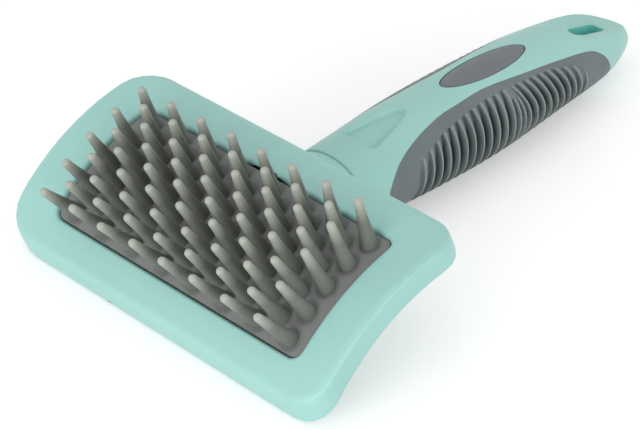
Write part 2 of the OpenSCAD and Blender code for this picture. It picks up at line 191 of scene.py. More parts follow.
def grid_faces(rows, columns, wrap=False, flip=False):
    """Quads of a grid of points stored row by row."""
    faces = []
    for i in range(rows - 1):
        for j in range(columns if wrap else columns - 1):
            k = (j + 1) % columns
            quad = (i * columns + j, i * columns + k, (i + 1) * columns + k, (i + 1) * columns + j)
            faces.append(quad[::-1] if flip else quad)
    return faces


def sheet_rim(rows, columns):
    """The numbers of the points round a sheet of rows and columns."""
    return np.array(list(range(columns)) + [i * columns + columns - 1 for i in range(1, rows)]
                    + [(rows - 1) * columns + j for j in range(columns - 2, -1, -1)]
                    + [i * columns for i in range(rows - 2, 0, -1)])


def mesh_arrays(mesh):
    """The mesh's points and edges as arrays."""
    points = np.empty(len(mesh.vertices) * 3)
    mesh.vertices.foreach_get("co", points)
    edges = np.empty(len(mesh.edges) * 2, int)
    mesh.edges.foreach_get("vertices", edges)
    return points.reshape(-1, 3), edges.reshape(-1, 2)


def relax(points, edges, weight, rounds, pull=0.5, push=-0.52):
    """Evens a mesh out by each point's weight. The push back keeps it from shrinking, unless it is 0."""
    i, j = edges.T
    n = len(points)
    count = np.maximum(np.bincount(i, minlength=n) + np.bincount(j, minlength=n), 1)
    for step in range(2 * rounds):
        share = (pull if step % 2 == 0 else push) * weight
        for c in range(3):
            near = np.bincount(i, points[j, c], n) + np.bincount(j, points[i, c], n)
            points[:, c] += share * (near / count - points[:, c])
    return points


def sharp_points(mesh, limit=32.0, spacing=0.05 * MM):
    """A search tree of points along the mesh's sharp edges."""
    shape = bmesh.new()
    shape.from_mesh(mesh)
    bmesh.ops.remove_doubles(shape, verts=shape.verts, dist=1e-6)
    found = []
    for edge in shape.edges:
        if len(edge.link_faces) == 2 and edge.calc_face_angle(0.0) > math.radians(limit):
            a, b = edge.verts[0].co, edge.verts[1].co
            steps = max(int((b - a).length / spacing), 1)
            found += [a.lerp(b, k / steps) for k in range(steps + 1)]
    shape.free()
    tree = KDTree(len(found))
    for k, p in enumerate(found):
        tree.insert(p, k)
    tree.balance()
    return tree


EVEN_ROUNDS, ROUND_ROUNDS = 40, 2   # rounds that even the facets out, and that round the edges
EDGE_REACH = 1.0                    # millimetres from a sharp edge at which they are fully evened out


def soften(node, name, slot, voxel):
    """The CAD node as one moulded skin: its facets evened out, and its edges kept but rounded a little."""
    source = NODES[node].data
    sharp = sharp_points(source)
    work = bpy.data.objects.new(name + "_work", source.copy())
    bpy.context.scene.collection.objects.link(work)
    remesh = work.modifiers.new("skin", "REMESH")
    remesh.mode = "VOXEL"
    remesh.voxel_size = voxel * MM
    bpy.context.view_layer.update()
    mesh = bpy.data.meshes.new_from_object(work.evaluated_get(bpy.context.evaluated_depsgraph_get()))
    bpy.data.objects.remove(work)
    mesh.name = name
    points, edges = mesh_arrays(mesh)
    nearest = [sharp.find(p) for p in points]
    gap = np.array([n[2] for n in nearest])
    snapped = 0.6 * voxel * MM
    close = gap < snapped
    points[close] = np.array([n[0] for n in nearest])[close]
    free = np.clip((gap - snapped) / (EDGE_REACH * MM - snapped), 0, 1)
    points = relax(points, edges, free * free * (3 - 2 * free), EVEN_ROUNDS)
    points = relax(points, edges, np.ones(len(points)), ROUND_ROUNDS, push=0.0)
    mesh.vertices.foreach_set("co", points.ravel())
    mesh.update()
    return add_piece(name, mesh, slot, node)


# ---- Materials ----
BUMP_DEPTH = 0.1 * MM


def linear(colour):
    """An sRGB colour in linear light, with full alpha."""
    return [c / 12.92 if c <= 0.04045 else ((c + 0.055) / 1.055) ** 2.4 for c in colour] + [1.0]


def shade(colour, factor):
    return [min(c * factor, 1.0) for c in colour]


class Paint:
    """A Principled material with its nodes at hand."""

    def __init__(self, name, roughness, specular=0.5):
        self.material = bpy.data.materials.new(name)
        self.material.use_nodes = True
        self.tree = self.material.node_tree
        self.shader = self.tree.nodes["Principled BSDF"]
        self.shader.inputs["Roughness"].default_value = roughness
        self.shader.inputs["Specular IOR Level"].default_value = specular
        self.place = self.tree.nodes.new("ShaderNodeTexCoord").outputs["Object"]

    def link(self, a, b):
        self.tree.links.new(a, b)

    def noise(self, scale, detail=3.0, roughness=0.55, stretch=None):
        node = self.tree.nodes.new("ShaderNodeTexNoise")
        node.inputs["Scale"].default_value = scale
        node.inputs["Detail"].default_value = detail
        node.inputs["Roughness"].default_value = roughness
        source = self.place
        if stretch:
            mapping = self.tree.nodes.new("ShaderNodeMapping")
            mapping.inputs["Scale"].default_value = stretch
            self.link(source, mapping.inputs["Vector"])
            source = mapping.outputs["Vector"]
        self.link(source, node.inputs["Vector"])
        return node.outputs["Fac"]

    def ramp(self, source, stops):
        node = self.tree.nodes.new("ShaderNodeValToRGB")
        ramp = node.color_ramp
        while len(ramp.elements) < len(stops):
            ramp.elements.new(0.5)
        for element, (place, value) in zip(ramp.elements, stops):
            element.position = place
            element.color = value if len(value) == 4 else [value[0]] * 3 + [1.0]
        self.link(source, node.inputs["Fac"])
        return node.outputs["Color"]

    def mix(self, factor, a, b):
        node = self.tree.nodes.new("ShaderNodeMix")
        node.data_type = "RGBA"
        inputs = [s for s in node.inputs if s.enabled]
        for socket, value in zip(inputs, (factor, a, b)):
            if hasattr(value, "links"):
                self.link(value, socket)
            else:
                socket.default_value = value
        return [s for s in node.outputs if s.enabled][0]

    def colour(self, source):
        self.link(source, self.shader.inputs["Base Color"])

    def rough(self, source):
        self.link(source, self.shader.inputs["Roughness"])

    def bump(self, source, height):
        node = self.tree.nodes.new("ShaderNodeBump")
        node.inputs["Strength"].default_value = height
        node.inputs["Distance"].default_value = BUMP_DEPTH
        self.link(source, node.inputs["Height"])
        previous = self.shader.inputs["Normal"].links
        if previous:
            self.link(previous[0].from_socket, node.inputs["Normal"])
        self.link(node.outputs["Normal"], self.shader.inputs["Normal"])

    def glow(self, weight, radius, scale):
        """Light that scatters a little way inside the material."""
        self.shader.inputs["Subsurface Weight"].default_value = weight
        self.shader.inputs["Subsurface Radius"].default_value = radius
        self.shader.inputs["Subsurface Scale"].default_value = scale


def mint_plastic():
    """Satin moulded polypropylene: a fine spark-eroded grain, faint flow clouds and light rubbing, with
    painted bounce light, a deeper and brighter green, on the slot's walls.
    """
    p = Paint("mint_plastic", 0.42, 0.42)
    mint = (0.61, 0.80, 0.773)
    cloud = p.ramp(p.noise(28, 4.0), [(0.3, linear(shade(mint, 0.975))), (0.7, linear(shade(mint, 1.02)))])
    speck = p.ramp(p.noise(5200, 1.0), [(0.42, (0.0,)), (0.62, (1.0,))])
    body = p.mix(speck, cloud, linear(shade(mint, 1.012)))
    # Painted bounce light: where this attribute is set, a deeper and brighter green stands in for light going
    # to and fro between the slot's walls.
    deep = p.tree.nodes.new("ShaderNodeAttribute")
    deep.attribute_name = "deep"
    p.colour(p.mix(deep.outputs["Fac"], body, linear((0.42, 0.865, 0.835))))
    p.rough(p.ramp(p.noise(90, 5.0), [(0.3, (0.36,)), (0.7, (0.47,))]))
    p.bump(p.noise(3600, 2.0), 0.10)
    p.bump(p.noise(240, 2.0), 0.05)
    p.glow(0.12, (0.5, 1.0, 0.85), 0.9 * MM)
    return p.material


def rubber(name, tone, rough, grain, *shaded):
    """Matt soft rubber: a dusty grain, faint clouds and a dull sheen."""
    p = Paint(name, rough, 0.32)
    cloud = p.ramp(p.noise(60, 5.0), [(0.3, linear(shade(tone, 0.94))), (0.7, linear(shade(tone, 1.05)))])
    dust = p.ramp(p.noise(3000, 2.0), [(0.5, (0.0,)), (0.75, (0.5,))])
    body = p.mix(dust, cloud, linear(shade(tone, 1.12)))
    # Each shaded entry mixes a second tone in by an attribute; here these are painted light: the pins' paler
    # tips, and the grip's groove shade and crest highlight.
    for attribute_name, stops, other in shaded:
        attribute = p.tree.nodes.new("ShaderNodeAttribute")
        attribute.attribute_name = attribute_name
        body = p.mix(p.ramp(attribute.outputs["Fac"], stops), body, linear(other))
    p.colour(body)
    p.rough(p.ramp(p.noise(140, 4.0), [(0.3, (rough - 0.06,)), (0.7, (rough + 0.06,))]))
    p.bump(p.noise(grain, 3.0), 0.16)
    return p


def pin_rubber():
    # Painted light: the pins turn paler from partway up towards their tips, where more light falls.
    p = rubber("pin_rubber", (0.45, 0.465, 0.437), 0.52, 2600,
               ("height", [(0.55, (0.0,)), (1.0, (0.8,))], (0.70, 0.715, 0.675)))
    p.glow(0.15, (1.0, 1.0, 0.85), 0.8 * MM)
    return p.material


def grid_plastic():
    return rubber("grid_plastic", (0.475, 0.485, 0.48), 0.55, 2200).material


def grip_rubber():
    """Painted light: a paler painted highlight on the crests, and painted shade, darker down in the grooves.
    """
    return rubber("grip_rubber", (0.42, 0.455, 0.46), 0.50, 2000,
                  # Painted shade darkens the grooves; a painted highlight lightens the crests.
                  ("groove", [(0.28, (0.0,)), (0.62, (0.55,)), (0.9, (1.0,))], (0.085, 0.105, 0.10)),
                  ("crest", [(0.1, (0.0,)), (0.9, (0.7,))], (0.56, 0.60, 0.59))).material


def badge_plastic():
    """Smooth dark plate with a faint brushed streak along it."""
    p = Paint("badge_plastic", 0.34, 0.45)
    tone = (0.39, 0.418, 0.438)
    streak = p.noise(900, 3.0, stretch=(1.0, 0.06, 1.0))
    p.colour(p.ramp(streak, [(0.3, linear(shade(tone, 0.96))), (0.7, linear(shade(tone, 1.05)))]))
    p.rough(p.ramp(p.noise(200, 4.0), [(0.3, (0.30,)), (0.7, (0.40,))]))
    p.bump(streak, 0.05)
    return p.material


def screw_steel():
    p = Paint("screw_steel", 0.32)
    p.shader.inputs["Metallic"].default_value = 1.0
    turned = p.noise(2600, 3.0, stretch=(1.0, 0.15, 1.0))
    p.colour(p.ramp(turned, [(0.3, linear((0.66, 0.66, 0.68))), (0.7, linear((0.76, 0.76, 0.78)))]))
    p.rough(p.ramp(turned, [(0.3, (0.26,)), (0.7, (0.4,))]))
    p.bump(turned, 0.1)
    return p.material


MATERIALS = {
    "mint_plastic": mint_plastic(),
    "grid_plastic": grid_plastic(),
    "pin_rubber": pin_rubber(),
    "grip_rubber": grip_rubber(),
    "badge_plastic": badge_plastic(),
    "screw_steel": screw_steel(),
}

# ---- Moulded shells, taken over from the CAD pieces ----
head_frame = soften("head_frame", "head_bezel", "mint_plastic", 0.36)
head_back = soften("head_back", "head_back_shell", "mint_plastic", 0.45)

NODES["neck_screw"].data.materials.clear()
NODES["neck_screw"].data.materials.append(MATERIALS["screw_steel"])


# ---- Pins ----
PIN_SIDES, SHAFT_STEPS, TIP_STEPS = 24, 18, 7
TIP_RING = SHAFT_STEPS + 2   # the ring of a pin round the middle of its tip
PIN_SUNK, FOOT_SPREAD, TIP_FLAT = 0.6, 0.05, 0.06   # depth in the sheet, extra at the foot, end of the tip
TAPER = 1.35    # how soon a pin thins above its foot
BEND = 1.7      # how much of a pin's lean comes near its tip
WOBBLE = 0.14   # spread of the pins' leans, in millimetres
SHEET_COLUMNS, SHEET_ROWS = 46, 34


def pin_profile():
    """[height, radius] from inside the sheet to the middle of the tip."""
    top = PIN_H - PIN_TIP_R
    rows = [(SHEET_TOP - PIN_SUNK, PIN_FOOT_R), (-PIN_SUNK, PIN_FOOT_R + FOOT_SPREAD)]
    for k in range(SHAFT_STEPS + 1):
        t = k / SHAFT_STEPS
        taper = (PIN_FOOT_R - PIN_TIP_R) * (1 - t) ** TAPER
        rows.append((t * top, PIN_TIP_R + taper))
    rows += [(top + PIN_TIP_R * math.sin(a), PIN_TIP_R * math.cos(a))
             for a in (math.pi / 2 * k / TIP_STEPS for k in range(1, TIP_STEPS))]
    return rows + [(PIN_H, TIP_FLAT)]


def pin_places():
    """Row, number in the row, and place along and round the arch of every pin."""
    for row in range(1, ROWS + 1):
        count = ROW_PINS if row % 2 else ROW_PINS - 1
        for i in range(1, count + 1):
            yield row, i, (i - (count + 1) / 2) * PIN_PITCH, ((ROWS + 1) / 2 - row) * ROW_PITCH


CORNER_PINS = {"tip_far_left": (-1, 1), "tip_far_right": (1, 1),
               "tip_near_left": (-1, -1), "tip_near_right": (1, -1)}
HALF_X, HALF_S = (ROW_PINS - 1) / 2 * PIN_PITCH, (ROWS - 1) / 2 * ROW_PITCH


def corner_leans():
    """How far, along x and round the arch, the soft pins at the corners lean to reach their image points."""
    leans = {}
    for name, (i, j) in CORNER_PINS.items():
        a = j * HALF_S / ARCH_R
        tip = on_arch(i * HALF_X, j * HALF_S, PIN_H - PIN_TIP_R)
        ends = project(from_head(np.array([tip, tip + (1, 0, 0), tip + (0, math.cos(a), -math.sin(a))])))
        leans[i, j] = np.linalg.solve((ends[1:] - ends[0]).T, np.array(POINTS[name]) - ends[0])
    return leans


def make_pins():
    """The rubber pad: a curved sheet with its pins, each a little off straight as soft pins are."""
    leans = corner_leans()
    draw = random.Random(12)
    profile = np.array(pin_profile())
    points, faces, heights, tips = [], [], [], {}
    turns = np.linspace(0, 2 * math.pi, PIN_SIDES, endpoint=False)
    for row, i, x, s in pin_places():
        shares = {(u, v): (1 + u * x / HALF_X) * (1 + v * s / HALF_S) / 4 for u, v in leans}
        lean = sum(share * leans[corner] for corner, share in shares.items())
        wobble = 0.0 if max(shares.values()) > 0.99 else WOBBLE
        lean = Vector(lean) + Vector((draw.gauss(0, wobble), draw.gauss(0, wobble)))
        first = len(points)
        a = s / ARCH_R
        for h, r in profile:
            bend = (max(h, 0) / PIN_H) ** BEND
            ring = np.stack([x + lean.x * bend + r * np.cos(turns),
                             lean.y * bend + r * np.sin(turns), np.full(PIN_SIDES, h)], 1)
            y = ring[:, 1] * math.cos(a) + (ARCH_R + ring[:, 2]) * math.sin(a)
            z = (ARCH_R + ring[:, 2]) * math.cos(a) - ring[:, 1] * math.sin(a) - ARCH_R
            points += list(from_head(np.stack([ring[:, 0], y, z], 1)))
            heights += [max(h, 0) / PIN_H] * PIN_SIDES
        rows = len(profile)
        faces += [tuple(first + k for k in f) for f in grid_faces(rows, PIN_SIDES, wrap=True)]
        faces.append(tuple(first + k for k in range(PIN_SIDES))[::-1])
        faces.append(tuple(first + (rows - 1) * PIN_SIDES + k for k in range(PIN_SIDES)))
        ring = first + TIP_RING * PIN_SIDES
        tips[row, i] = np.mean(points[ring:ring + PIN_SIDES], 0)
    xs = np.linspace(-SHEET_L / 2, SHEET_L / 2, SHEET_COLUMNS)
    ss = np.linspace(-SHEET_W / 2, SHEET_W / 2, SHEET_ROWS)
    for h, flip in ((SHEET_TOP, False), (SHEET_TOP - SHEET_T, True)):
        first = len(points)
        points += list(from_head(on_arch(xs[None, :], ss[:, None], h).reshape(-1, 3)))
        heights += [0.0] * (len(xs) * len(ss))
        faces += [tuple(first + k for k in f) for f in grid_faces(len(ss), len(xs), flip=flip)]
    top, low = len(points) - 2 * len(xs) * len(ss), len(points) - len(xs) * len(ss)
    loop = sheet_rim(len(ss), len(xs))
    faces += [(top + b, top + a, low + a, low + b) for a, b in zip(loop, np.roll(loop, -1))]
    piece = new_piece("rubber_pins", points, faces, "pin_rubber", "pin_pad")
    # The height also sets the pins' painted light, paler towards the tips.
    piece.data.attributes.new("height", "FLOAT", "POINT").data.foreach_set("value", heights)
    return piece, tips


pins, pin_tips = make_pins()


# ---- Pin field: a plate that dips softly to the foot of every pin ----
DIP, DIP_REACH = 0.55, 0.85


def dip(x, s):
    """How far the plate lies under its arch."""
    nearest = np.full(np.shape(x), np.inf)
    for _, _, px, ps in pin_places():
        nearest = np.minimum(nearest, np.hypot(x - px, s - ps))
    return DIP * np.exp(-(np.maximum(nearest - PIN_FOOT_R, 0) / DIP_REACH) ** 2)


def make_field():
    """The plate inside the window, with a rolled edge and a plain underside."""
    half_l, half_w, corner = WINDOW_L / 2 - FIT, WINDOW_W / 2 - FIT, WINDOW_R - FIT
    edge = 0.35
    columns, rows = 240, 104
    s = np.linspace(-half_w, half_w, rows)[:, None]
    past = np.clip(np.abs(s) - (half_w - corner), 0, corner)
    reach = half_l - corner + np.sqrt(np.maximum(corner ** 2 - past ** 2, 0))
    x = reach * np.linspace(-1, 1, columns)[None, :]
    s = np.broadcast_to(s, x.shape)
    rim = np.minimum(reach - np.abs(x), half_w - np.abs(s))
    rolled = edge * (1 - np.sqrt(1 - np.clip(1 - rim / edge, 0, 1) ** 2))
    top = on_arch(x, s, -dip(x, s) - rolled)
    low = on_arch(x, s, np.full(x.shape, GRID_LOW))
    points = np.concatenate([top.reshape(-1, 3), low.reshape(-1, 3)])
    count = rows * columns
    faces = grid_faces(rows, columns)
    faces += [tuple(count + k for k in f[::-1]) for f in grid_faces(rows, columns)]
    loop = sheet_rim(rows, columns)
    faces += [(b, a, count + a, count + b) for a, b in zip(loop, np.roll(loop, -1))]
    return new_piece("pin_field", from_head(points), faces, "grid_plastic", "pin_grid")


pin_field = make_field()


# ---- Handle's skin, as part.scad lofts it ----
# [share of the length, share of the half width, top and bottom as shares of the height]
STATIONS = np.array([
    [0.000, 0.860, 0.205, -0.665],
    [0.096, 0.905, 0.275, -0.640],
    [0.255, 0.970, 0.400, -0.605],
    [0.453, 1.000, 0.490, -0.505],
    [0.651, 0.955, 0.535, -0.310],
    [0.829, 0.720, 0.555, -0.250],
    [0.930, 0.530, 0.500, -0.160],
    [1.000, 0.360, 0.260, -0.100]])
# Upper edge of the grip and of its ribbed field, as [share of the length, share of the height]
GRIP_LINE = np.array([
    [0.075, -0.15], [0.088, -0.04], [0.12, 0.098], [0.185, 0.235], [0.265, 0.335],
    [0.345, 0.388], [0.425, 0.427], [0.53, 0.440], [0.665, 0.436], [0.77, 0.385], [0.812, 0.275],
    [0.838, 0.135], [0.854, 0.0]])
FIELD_LINE = np.array([
    [0.17, 0.05], [0.255, 0.222], [0.338, 0.318], [0.44, 0.382], [0.60, 0.412],
    [0.655, 0.390], [0.715, 0.320], [0.735, 0.20]])


def along(rows, p, column):
    """A table read as one smooth curve, the way part.scad reads it."""
    x, v = rows[:, 0], rows[:, column]
    n = len(x)
    low, high = np.maximum(np.arange(n) - 1, 0), np.minimum(np.arange(n) + 1, n - 1)
    slopes = (v[high] - v[low]) / (x[high] - x[low])
    p = np.asarray(p, float)
    i = np.clip(np.searchsorted(x, p, side="left") - 1, 0, n - 2)
    w = x[i + 1] - x[i]
    t = (p - x[i]) / w
    a, b, da, db = v[i], v[i + 1], slopes[i] * w, slopes[i + 1] * w
    return a + t * (da + t * (3 * (b - a) - 2 * da - db + t * (2 * (a - b) + da + db)))


def section(p):
    """Half width, middle and half height of the handle at a share of its length."""
    t = np.clip((np.asarray(p) - ROUND_FROM) / (1 - ROUND_FROM), 0, 1)
    close = np.sqrt(1 - t ** 2.5)
    top, low = along(STATIONS, p, 2), along(STATIONS, p, 3)
    half_w, half_h = along(STATIONS, p, 1) * HANDLE_W / 2, (top - low) / 2 * HANDLE_H
    return half_w * close, (top + low) / 2 * HANDLE_H, half_h * close


def power(v, e):
    """A power that keeps the sign."""
    return np.sign(v) * np.abs(v) ** e


def skin(p, a, sunk=0.0):
    """Point of the skin at a share of the length and an angle round it, in radians."""
    half_w, middle, half_h = section(p)
    e = 2 / SQUARENESS
    return np.stack(np.broadcast_arrays(
        (half_w - sunk) * power(np.cos(a), e), NECK_REACH + np.asarray(p) * HANDLE_L,
        middle + (half_h - sunk) * power(np.sin(a), e)), -1)


def angle_at(p, w):
    """Angle on the +X side at which the skin is at height w."""
    _, middle, half_h = section(p)
    k = np.clip((w - middle) / half_h, -1, 1)
    return np.arcsin(np.clip(power(k, SQUARENESS / 2), -1, 1))


FRONT_START, FRONT_COUNT, FRONT_PITCH = 19.0, 12, 2.77
REAR_START = FRONT_START + (FRONT_COUNT - 1) * FRONT_PITCH + 2.4
REAR_COUNT, REAR_PITCH = 10, 2.55
BOW_R = 13.6
GROOVE_D, FIN_T, ROOT_W = 2.3, 0.5, 0.16   # deeper and thinner than in part.scad
# Share of the grooves' depth and of their painted shade at the field's top, and millimetres down to a whole
# share more
FADE_FROM, FADE = 0.25, 4.5
PAINTED_SHADE_FROM, PAINTED_SHADE_REACH = 0.62, 22
STEP = 0.15   # height of the small wall at the field's top


def rib_knots():
    """Knots of the ribbed section as [place, share of the bow, drop of the field's top, depth, painted crest
    highlight]; the depth also sets the painted groove shade.
    """
    fins = [(FRONT_START + i * FRONT_PITCH, 0.0, 0.0, min(1, 0.4 + 0.2 * i)) for i in range(FRONT_COUNT)]
    fins += [(REAR_START - 1.3, 0.28, 0.09, 1.0), (REAR_START - 0.75, 0.66, 0.09, 0.8)]
    fins += [(REAR_START + i * REAR_PITCH, 1.0, 0.0, min(1, 0.4 + 0.2 * (REAR_COUNT - 1 - i)))
             for i in range(REAR_COUNT)]
    knots = [(0.0, 0.0, 0.0, 0.0, 0.0), (FRONT_START - FRONT_PITCH + FIN_T, 0.0, 0.0, 0.0, 0.0)]
    for place, share, drop, depth in fins:
        knots += [(place - ROOT_W, share, drop, depth, 0.0), (place, share, drop, 0.0, 1.0),
                  (place + FIN_T, share, drop, 0.0, 1.0)]
    return np.array(knots + [(place + 2 * FIN_T, share, 0.0, 0.0, 0.0), (HANDLE_L, 0.0, 0.0, 0.0, 0.0)])


def bow(w):
    """How far a bowed fin runs towards the tail at a height."""
    return np.sqrt(np.maximum(BOW_R ** 2 - w ** 2, 1)) - math.sqrt(BOW_R ** 2 - (0.4 * HANDLE_H) ** 2)


def field_top(share):
    """Height of the ribbed field's upper edge at a share of the length."""
    return along(FIELD_LINE, np.clip(share, FIELD_LINE[0, 0], FIELD_LINE[-1, 0]), 1) * HANDLE_H


def ribs(y, w):
    """Depth, painted groove shade and painted crest highlight of the ribs at a distance from the mouth and a
    height.
    """
    knots = rib_knots()
    places = knots[None, :, 0] + knots[None, :, 1] * bow(w)[:, None]
    under = field_top(y / HANDLE_L)[:, None] - knots[None, :, 2] * HANDLE_H - w[:, None]
    inside, fade = np.clip(under / STEP, 0, 1), np.clip(FADE_FROM + under / FADE, 0, 1)
    # The painted shade grows darker further down the grooves.
    deep = np.clip(PAINTED_SHADE_FROM + under / PAINTED_SHADE_REACH, 0, 1)
    values = np.stack([knots[None, :, 3] * inside * fade * GROOVE_D, knots[None, :, 3] * inside * deep,
                       knots[None, :, 4] * inside])
    total = np.zeros((3, len(y)))
    kernel = [(-0.08, 1), (-0.04, 2), (0, 3), (0.04, 2), (0.08, 1)]
    rows = np.arange(len(y))
    for offset, share in kernel:
        at = y + offset
        i = np.clip((places <= at[:, None]).sum(1) - 1, 0, len(knots) - 2)
        low, high = places[rows, i], places[rows, i + 1]
        t = np.clip((at - low) / np.maximum(high - low, 1e-6), 0, 1)
        total += share * (values[:, rows, i] * (1 - t) + values[:, rows, i + 1] * t)
    return total / sum(share for _, share in kernel)


def lower_edge(u):
    """Height of the lower rear edge of the grip, or far below it where the grip wraps the whole belly."""
    tip_u, tip_w = NECK_REACH + GRIP_LINE[-1, 0] * HANDLE_L, GRIP_LINE[-1, 1] * HANDLE_H
    knots_u = [tip_u - 14, tip_u - 8, tip_u - 1.2, tip_u]
    knots_w = [-HANDLE_H, tip_w - 0.26 * HANDLE_H, tip_w - 0.12 * HANDLE_H, tip_w]
    return np.interp(u, knots_u, knots_w)


# How far out and up each ring of the grip's edge goes
LIP = [(0.04, 0.02), (0.07, 0.0), (0.08, -0.06), (0.08, -1.2)]


GRIP_FROM, GRIP_TO = 0.0752, 0.8538   # where the sheets start and end, just inside the grip's line
ROW_GAP = 0.125                       # between the rows of a sheet, in millimetres


def grip_span():
    """Shares of the length along the grip, and the angles of its lower and upper edge there."""
    share = np.arange(GRIP_FROM, GRIP_TO, ROW_GAP / HANDLE_L)
    high = angle_at(share, along(GRIP_LINE, share, 1) * HANDLE_H)
    low = angle_at(share, lower_edge(NECK_REACH + share * HANDLE_L))
    return share, np.minimum(low, high - 0.02), high


UNDER, ABOVE = 84, 22   # columns of the grip's sheet under and above the field's top


def make_grip():
    """The ribbed soft grip: two sheets that meet under the belly, with a thin lip on the plastic."""
    share, low, high = grip_span()
    rows, columns = len(share), UNDER + ABOVE
    top = np.minimum(angle_at(share, field_top(share)), high - 0.2 * (high - low))
    foot = np.minimum(angle_at(share, field_top(share) - STEP), top - 0.004)
    a = np.concatenate([low[:, None] + (foot - low)[:, None] * np.linspace(0, 1, UNDER)[None, :],
                        top[:, None] + (high - top)[:, None] * np.linspace(0, 1, ABOVE)[None, :]], 1)
    p = np.repeat(share[:, None], columns, 1)
    flat = skin(p, a)
    depth, groove_painted_shade, crest = ribs((p * HANDLE_L).ravel(), flat[..., 2].ravel())
    sheet = skin(p, a, depth.reshape(p.shape)).reshape(-1, 3)
    normal = np.cross(np.gradient(flat, axis=0), np.gradient(flat, axis=1))
    normal /= np.linalg.norm(normal, axis=2)[..., None]
    normal *= np.sign(normal[..., :1] + 1e-9)
    normal = normal.reshape(-1, 3)
    flat = flat.reshape(-1, 3)
    loop = sheet_rim(rows, columns)
    edge, up = flat[loop], normal[loop]
    run = np.roll(edge, -2, 0) - np.roll(edge, 2, 0)
    out = np.cross(run, up)
    out /= np.linalg.norm(out, axis=1)[:, None]
    out *= np.sign(((edge - flat.mean(0)) * out).sum(1)).mean()
    belly = (np.abs(edge[:, 0]) < 0.05)[:, None]
    out[belly[:, 0]] = 0
    points, faces = [], []
    for side in (1, -1):
        rings = [sheet] + [sheet[loop] + out * d + up * np.where(belly, min(h, 0), h) for d, h in LIP]
        half = np.concatenate(rings)
        half[:, 0] *= side
        first = len(points)
        points += list(from_handle(half))
        faces += [tuple(first + k for k in f) for f in grid_faces(rows, columns, flip=side > 0)]
        count = len(loop)
        previous = loop
        for k in range(len(LIP)):
            ring = rows * columns + k * count + np.arange(count)
            for j in range(count):
                n = (j + 1) % count
                quad = (previous[j], previous[n], ring[n], ring[j])
                faces.append(tuple(int(first + q) for q in (quad if side > 0 else quad[::-1])))
            previous = ring
    piece = new_piece("ribbed_grip", points, faces, "grip_rubber", "grip")
    # The painted groove shade and painted crest highlight go to the grip's material as attributes.
    for name, values in (("groove", groove_painted_shade), ("crest", crest ** 5)):
        values = np.concatenate([values, np.zeros(len(LIP) * len(loop))])
        piece.data.attributes.new(name, "FLOAT", "POINT").data.foreach_set("value", np.tile(values, 2))
    piece.data.set_sharp_from_angle(angle=math.radians(50))
    return piece


grip = make_grip()


# ---- Handle's shell: the skin with its scoop and thumb recess, cut for the grip, the badge and the slot ----
BADGE_L, BADGE_W, BADGE_MID = 29.0, 9.4, NECK_REACH + 0.49 * HANDLE_L
BADGE_DEPTH, GRIP_DEPTH, SEAM = 1.3, 2.8, 0.1
SLOT_L, SLOT_W, SLOT_R, SLOT_MID = 10.4, 4.8, 1.5, NECK_REACH + 0.853 * HANDLE_L
# The scoop's radius across, its fall towards the tail, and how much steeper it rises towards the head.
# Then the place from which it rises, and the height of its floor at a place
SCOOP_R, SCOOP_FALL, SCOOP_STEEP = 19.0, 0.168, 1.45
SCOOP_FROM, SCOOP_AT, SCOOP_LOW = 120.8, 124.3, 8.55
THUMB_Y, THUMB_L, THUMB_W, THUMB_D = NECK_REACH + 0.08 * HANDLE_L, 16.0, 11.0, 1.2
THUMB_R = 1.6
THUMB_DISCS = [(-THUMB_W / 2 + THUMB_R, THUMB_Y + THUMB_R, THUMB_R),
               (THUMB_W / 2 - THUMB_R, THUMB_Y + THUMB_R, THUMB_R),
               (-THUMB_W * 0.36 + THUMB_R, THUMB_Y + THUMB_L * 0.55, THUMB_R),
               (THUMB_W * 0.36 - THUMB_R, THUMB_Y + THUMB_L * 0.55, THUMB_R),
               (0.0, THUMB_Y + THUMB_L - THUMB_W * 0.2, THUMB_W * 0.2)]
TENON_W, TENON_H, TENON_L, TENON_R = 14.0, 9.0, 12.0, 3.0
SKIN_SIDES, SEAT_SIDES = 256, 128


def outside(x, y, discs, directions=90):
    """How far a place lies outside the hull of some discs, and below 0 inside it."""
    far_out = np.full(np.shape(x), -np.inf)
    for a in np.linspace(0, 2 * math.pi, directions, endpoint=False):
        reach = max(cx * math.cos(a) + cy * math.sin(a) + r for cx, cy, r in discs)
        far_out = np.maximum(far_out, x * math.cos(a) + y * math.sin(a) - reach)
    return far_out


def ease(v, low, high):
    """A smooth step from 0 to 1."""
    t = np.clip((v - low) / (high - low), 0, 1)
    return t * t * (3 - 2 * t)


def scooped(x, y, w, soft=0.3):
    """Height of the skin where the scoop round the slot takes it down, with its rim rounded off."""
    under = SCOOP_R ** 2 - x ** 2 - (SCOOP_STEEP * np.maximum(SCOOP_FROM - y, 0)) ** 2
    bottom = SCOOP_LOW - SCOOP_FALL * (y - SCOOP_AT)
    scoop = np.where(under > 0, bottom + SCOOP_R - np.sqrt(np.maximum(under, 0)), 99.0)
    return np.minimum(w, scoop) - np.maximum(soft - np.abs(w - scoop), 0) ** 2 / (4 * soft)


def slot_discs():
    """The discs whose hull is the hang slot."""
    x, y = SLOT_W / 2 - SLOT_R, SLOT_L / 2 - SLOT_R
    return [(i * x, SLOT_MID + j * y, SLOT_R) for i in (-1, 1) for j in (-1, 1)]


def hull_outline(discs, turns=64):
    """Points round the hull of some discs."""
    points = []
    for a in np.linspace(0, 2 * math.pi, turns, endpoint=False):
        c, s = math.cos(a), math.sin(a)
        cx, cy, r = max(discs, key=lambda d: d[0] * c + d[1] * s + d[2])
        points.append((cx + r * c, cy + r * s))
    return np.array(points)


